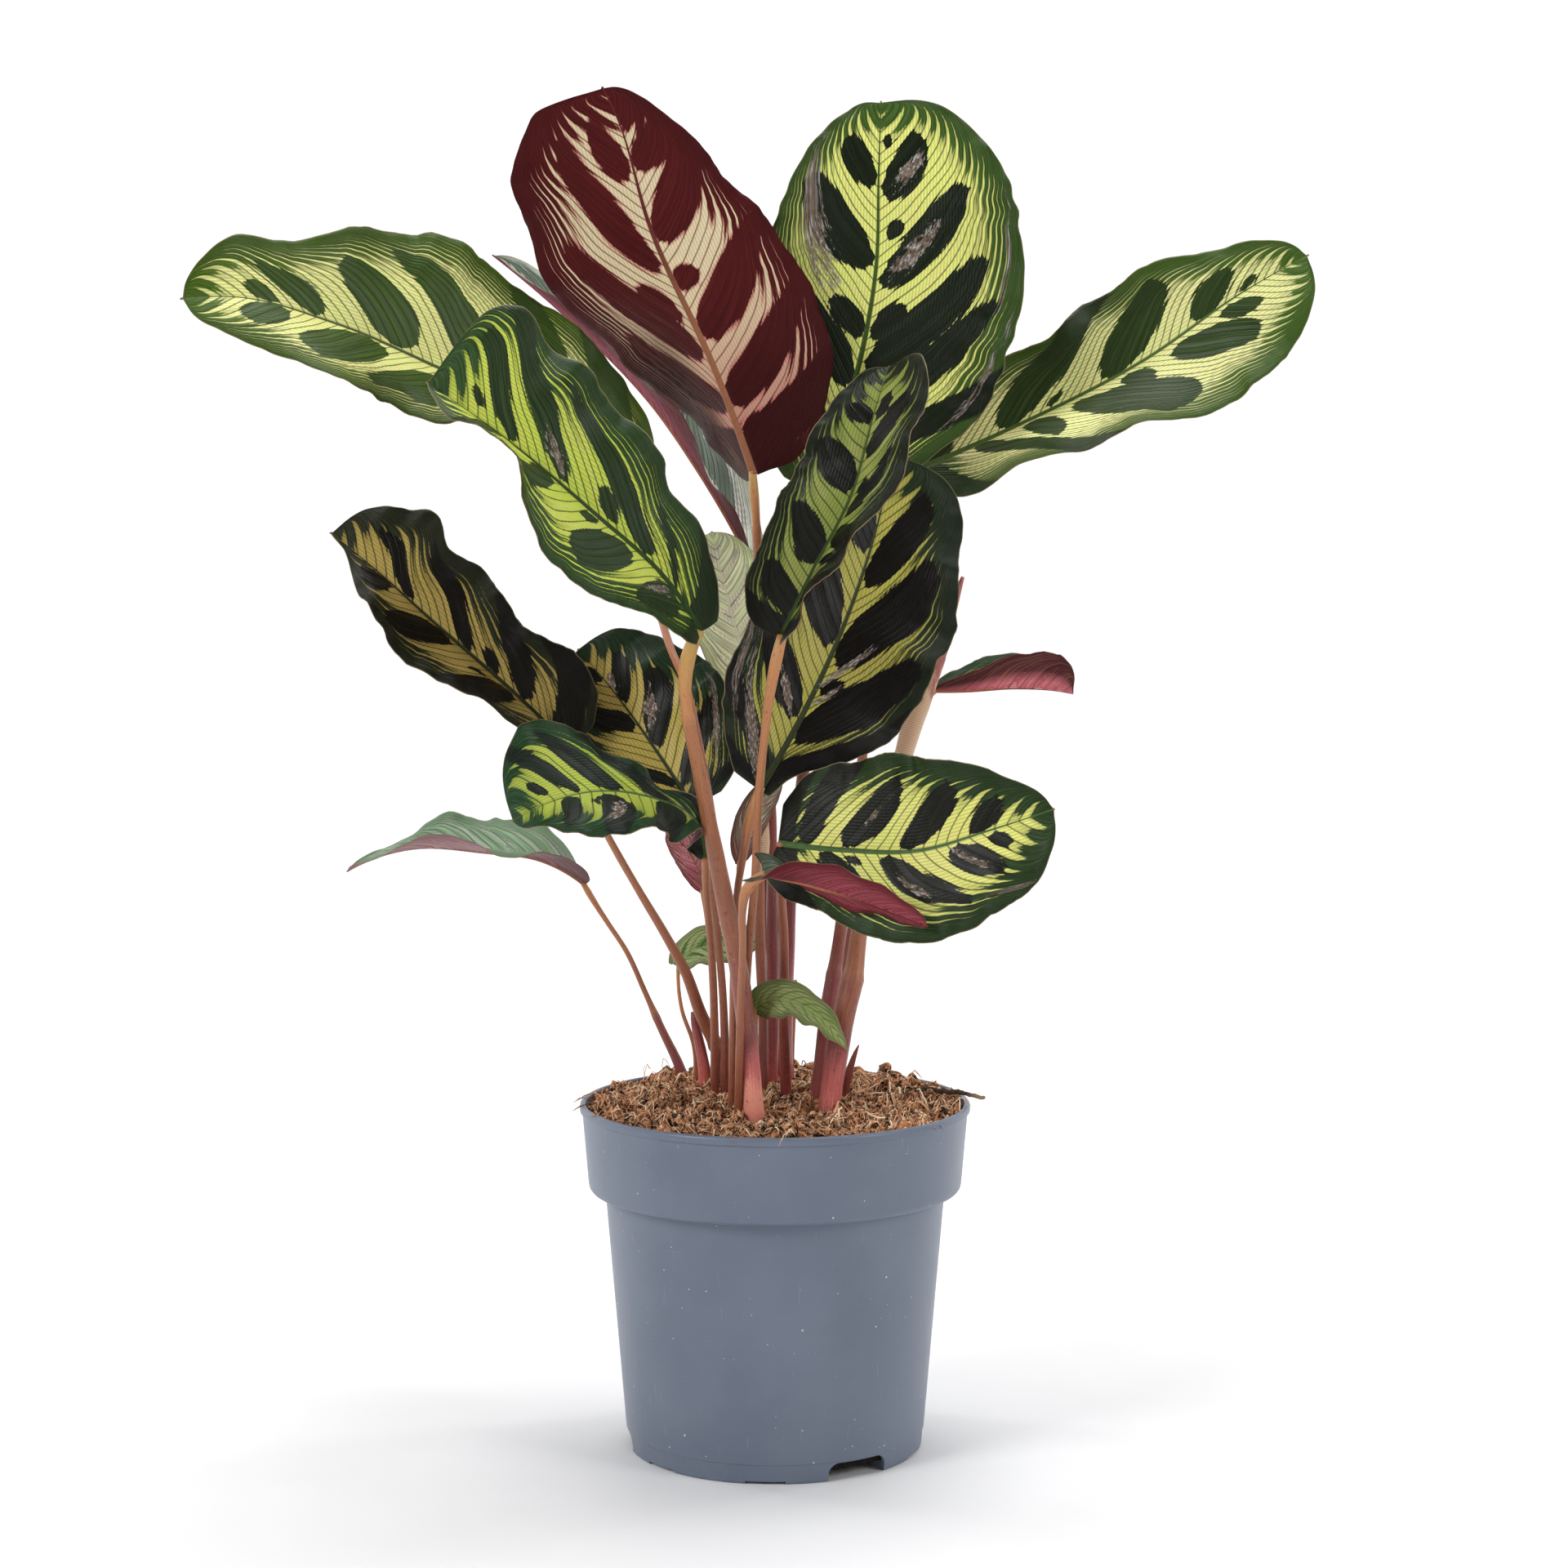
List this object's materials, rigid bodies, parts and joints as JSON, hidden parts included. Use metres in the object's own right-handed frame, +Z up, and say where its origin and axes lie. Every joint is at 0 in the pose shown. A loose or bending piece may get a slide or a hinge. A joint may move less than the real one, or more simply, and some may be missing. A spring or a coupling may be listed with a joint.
{
  "type": "potted peacock plant",
  "caption": "Potted peacock plant: patterned oval leaves on slender reddish stems, rooted in dark soil in a round plastic nursery pot with a ledged collar.",
  "frame": {"origin": "middle of the pot's base, on the surface that the pot stands on", "axes": "+Z up along the pot's axis, -Y towards the front of the plant, +X to the right seen from the front"},
  "size_m": [0.3673, 0.193, 0.4512],
  "materials": {
    "pot": "satin blue-grey moulded plastic with fine scratches and dust",
    "soil": "fibrous peat and coir, matt",
    "root": "dry, matt",
    "stem": "smooth reddish brown, satin",
    "leaf_green": "yellow-green with dark green blotches and margin, satin",
    "leaf_olive": "olive-tan with near-black green blotches, satin",
    "leaf_burgundy": "burgundy underside with cream stripes, matt",
    "leaf_silver": "dark green with a silvery sheen, satin",
    "leaf_pale": "pale young green, satin",
    "leaf_pink": "rolled young leaf, pink and cream, matt"
  },
  "bodies": {
    "root": {"leaf_back_inner": "leaf_silver", "leaf_back_upper": "leaf_silver", "leaf_centre": "leaf_olive", "leaf_centre_front": "leaf_green", "leaf_folded_front": "leaf_burgundy", "leaf_left_front": "leaf_green", "leaf_left_inner": "leaf_green", "leaf_left_lower": "leaf_green", "leaf_left_middle": "leaf_olive", "leaf_left_trailing": "leaf_silver", "leaf_left_upper": "leaf_green", "leaf_pale_inner": "leaf_pale", "leaf_pink_small": "leaf_pink", "leaf_right_lower": "leaf_green", "leaf_right_small": "leaf_burgundy", "leaf_right_upper": "leaf_green", "leaf_rolled_short": "leaf_pink", "leaf_rolled_tall": "leaf_pink", "leaf_top_left": "leaf_burgundy", "leaf_top_right": "leaf_green", "leaf_young_back": "leaf_pale", "leaf_young_front": "leaf_pale", "pot": "pot", "root_twig": "root", "shoot_centre": "stem", "shoot_left": "stem", "shoot_right": "stem", "soil": "soil", "stem_back_inner": "stem", "stem_back_upper": "stem", "stem_centre": "stem", "stem_centre_front": "stem", "stem_folded_front": "stem", "stem_left_front": "stem", "stem_left_inner": "stem", "stem_left_lower": "stem", "stem_left_middle": "stem", "stem_left_trailing": "stem", "stem_left_upper": "stem", "stem_pale_inner": "stem", "stem_pink_small": "stem", "stem_right_lower": "stem", "stem_right_small": "stem", "stem_right_upper": "stem", "stem_rolled_short": "stem", "stem_rolled_tall": "stem", "stem_top_left": "stem", "stem_top_right": "stem", "stem_young_back": "stem", "stem_young_front": "stem"}
  },
  "joints": []
}
